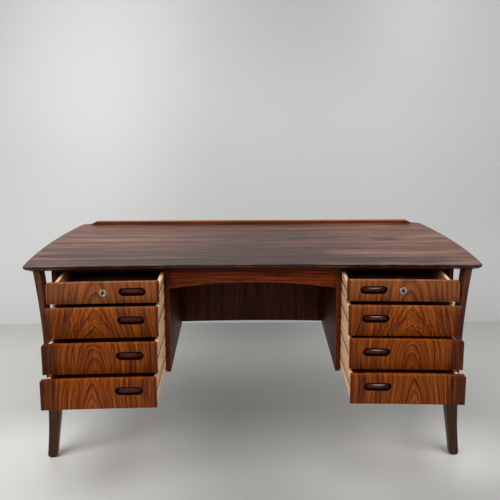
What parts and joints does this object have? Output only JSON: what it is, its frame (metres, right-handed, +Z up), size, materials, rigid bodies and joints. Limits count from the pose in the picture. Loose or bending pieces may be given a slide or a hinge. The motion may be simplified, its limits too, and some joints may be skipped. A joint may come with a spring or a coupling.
{
  "type": "executive desk",
  "caption": "Writing desk with a thin bowed top, two hung pedestals of drawers with recessed pulls and locks, an open kneehole and knee shaped legs.",
  "frame": {"origin": "on the floor, under the middle of the whole desk with its drawers as they stand at rest", "axes": "+X to the right along the width, +Y from the sitter to the back, +Z up"},
  "size_m": [1.64, 1.0896, 0.749],
  "materials": {
    "rosewood_top": "satin lacquer, grain along the width",
    "rosewood_edge": "satin lacquer",
    "rosewood_ledge": "satin lacquer",
    "rosewood_apron": "satin lacquer, grain along the width",
    "rosewood_carcass": "satin lacquer",
    "rosewood_back": "satin lacquer, upright grain",
    "rosewood_front": "satin lacquer, upright flame figure",
    "leg_wood": "satin lacquer, dark",
    "pull_wood": "polished solid wood",
    "pale_wood": "waxed, unstained",
    "drawer_ply": "waxed thin board",
    "lock_metal": "nickel plated",
    "bolt_brass": "plain",
    "steel": "zinc plated"
  },
  "bodies": {
    "carcass": {"desktop": "rosewood_top", "edge_band": "rosewood_edge", "back_ledge": "rosewood_ledge", "apron": "rosewood_apron", "modesty_panel": "rosewood_back", "drawer_runners": "pale_wood", "leg_bolts": "steel", "left_front_leg": "leg_wood", "left_rear_leg": "leg_wood", "left_outer_side": "rosewood_carcass", "left_inner_side": "rosewood_carcass", "left_base": "rosewood_carcass", "left_top_rails": "rosewood_carcass", "left_back": "rosewood_back", "right_front_leg": "leg_wood", "right_rear_leg": "leg_wood", "right_outer_side": "rosewood_carcass", "right_inner_side": "rosewood_carcass", "right_base": "rosewood_carcass", "right_top_rails": "rosewood_carcass", "right_back": "rosewood_back"},
    "left_drawer_1": {"left_drawer_1_front": "rosewood_front", "left_drawer_1_box": "pale_wood", "left_drawer_1_bottom": "drawer_ply", "left_drawer_1_pull": "pull_wood", "left_lock_body": "lock_metal"},
    "left_drawer_2": {"left_drawer_2_front": "rosewood_front", "left_drawer_2_box": "pale_wood", "left_drawer_2_bottom": "drawer_ply", "left_drawer_2_pull": "pull_wood"},
    "left_drawer_3": {"left_drawer_3_front": "rosewood_front", "left_drawer_3_box": "pale_wood", "left_drawer_3_bottom": "drawer_ply", "left_drawer_3_pull": "pull_wood"},
    "left_drawer_4": {"left_drawer_4_front": "rosewood_front", "left_drawer_4_box": "pale_wood", "left_drawer_4_bottom": "drawer_ply", "left_drawer_4_pull": "pull_wood"},
    "left_plug": {"left_lock_plug": "lock_metal"},
    "left_bolt": {"left_lock_bolt": "bolt_brass"},
    "right_drawer_1": {"right_drawer_1_front": "rosewood_front", "right_drawer_1_box": "pale_wood", "right_drawer_1_bottom": "drawer_ply", "right_drawer_1_pull": "pull_wood", "right_lock_body": "lock_metal"},
    "right_drawer_2": {"right_drawer_2_front": "rosewood_front", "right_drawer_2_box": "pale_wood", "right_drawer_2_bottom": "drawer_ply", "right_drawer_2_pull": "pull_wood"},
    "right_drawer_3": {"right_drawer_3_front": "rosewood_front", "right_drawer_3_box": "pale_wood", "right_drawer_3_bottom": "drawer_ply", "right_drawer_3_pull": "pull_wood"},
    "right_drawer_4": {"right_drawer_4_front": "rosewood_front", "right_drawer_4_box": "pale_wood", "right_drawer_4_bottom": "drawer_ply", "right_drawer_4_pull": "pull_wood"},
    "right_plug": {"right_lock_plug": "lock_metal"},
    "right_bolt": {"right_lock_bolt": "bolt_brass"}
  },
  "joints": [
    {"name": "left_drawer_1_slide", "type": "slide", "parent": "carcass", "child": "left_drawer_1", "axis": [0, -1, 0], "range_m": [-0.186, 0.244]},
    {"name": "left_drawer_2_slide", "type": "slide", "parent": "carcass", "child": "left_drawer_2", "axis": [0, -1, 0], "range_m": [-0.24, 0.19]},
    {"name": "left_drawer_3_slide", "type": "slide", "parent": "carcass", "child": "left_drawer_3", "axis": [0, -1, 0], "range_m": [-0.299, 0.131]},
    {"name": "left_drawer_4_slide", "type": "slide", "parent": "carcass", "child": "left_drawer_4", "axis": [0, -1, 0], "range_m": [-0.348, 0.082]},
    {"name": "left_lock_turn", "type": "hinge", "parent": "left_drawer_1", "child": "left_plug", "pos_m": [-0.516, -0.37128, 0.6725], "axis": [0.0506, -0.9987, 0], "range_deg": [0, 90]},
    {"name": "left_bolt_lift", "type": "slide", "parent": "left_drawer_1", "child": "left_bolt", "axis": [0, 0, 1], "range_m": [0, 0.008]},
    {"name": "right_drawer_1_slide", "type": "slide", "parent": "carcass", "child": "right_drawer_1", "axis": [0, -1, 0], "range_m": [-0.179, 0.251]},
    {"name": "right_drawer_2_slide", "type": "slide", "parent": "carcass", "child": "right_drawer_2", "axis": [0, -1, 0], "range_m": [-0.237, 0.193]},
    {"name": "right_drawer_3_slide", "type": "slide", "parent": "carcass", "child": "right_drawer_3", "axis": [0, -1, 0], "range_m": [-0.276, 0.154]},
    {"name": "right_drawer_4_slide", "type": "slide", "parent": "carcass", "child": "right_drawer_4", "axis": [0, -1, 0], "range_m": [-0.324, 0.106]},
    {"name": "right_lock_turn", "type": "hinge", "parent": "right_drawer_1", "child": "right_plug", "pos_m": [0.516, -0.36428, 0.6725], "axis": [-0.0506, -0.9987, 0], "range_deg": [0, 90]},
    {"name": "right_bolt_lift", "type": "slide", "parent": "right_drawer_1", "child": "right_bolt", "axis": [0, 0, 1], "range_m": [0, 0.008]}
  ],
  "couplings": [
    {"joint": "left_lock_turn", "follows": "left_bolt_lift", "rad_per_m": 196.35},
    {"joint": "right_lock_turn", "follows": "right_bolt_lift", "rad_per_m": 196.35}
  ]
}
